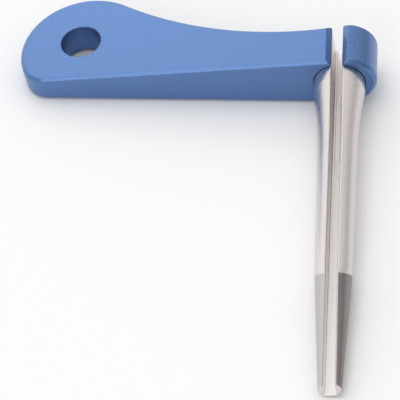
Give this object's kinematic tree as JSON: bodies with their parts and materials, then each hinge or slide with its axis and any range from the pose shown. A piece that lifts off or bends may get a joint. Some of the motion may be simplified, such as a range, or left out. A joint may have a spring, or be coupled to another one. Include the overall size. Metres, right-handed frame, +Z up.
{
  "type": "bladed spoke holder",
  "caption": "Hand tool with a flat blue lever, a hanging hole in its round tail and a tapered slotted steel pin through its head, that keeps a bladed wheel spoke from twisting.",
  "frame": {"origin": "under the middle of the tool's bounding box, at the height of its lowest point, as it lies on a bench", "axes": "+Z is up, with the slot's mouth upwards; -Y runs along the pin to its tip; -X runs along the lever to its tail. The tool lies on the lower front edge of the lever and on the pin's tip, so its own flat faces lean a few degrees."},
  "size_m": [0.0542, 0.0712, 0.0097],
  "materials": {
    "blue_anodised": "bead-blasted and blue anodised, satin",
    "ground_steel": "finely ground along its length, nearly bright"
  },
  "bodies": {
    "root": {"lever_handle": "blue_anodised", "slotted_pin": "ground_steel"}
  },
  "joints": []
}
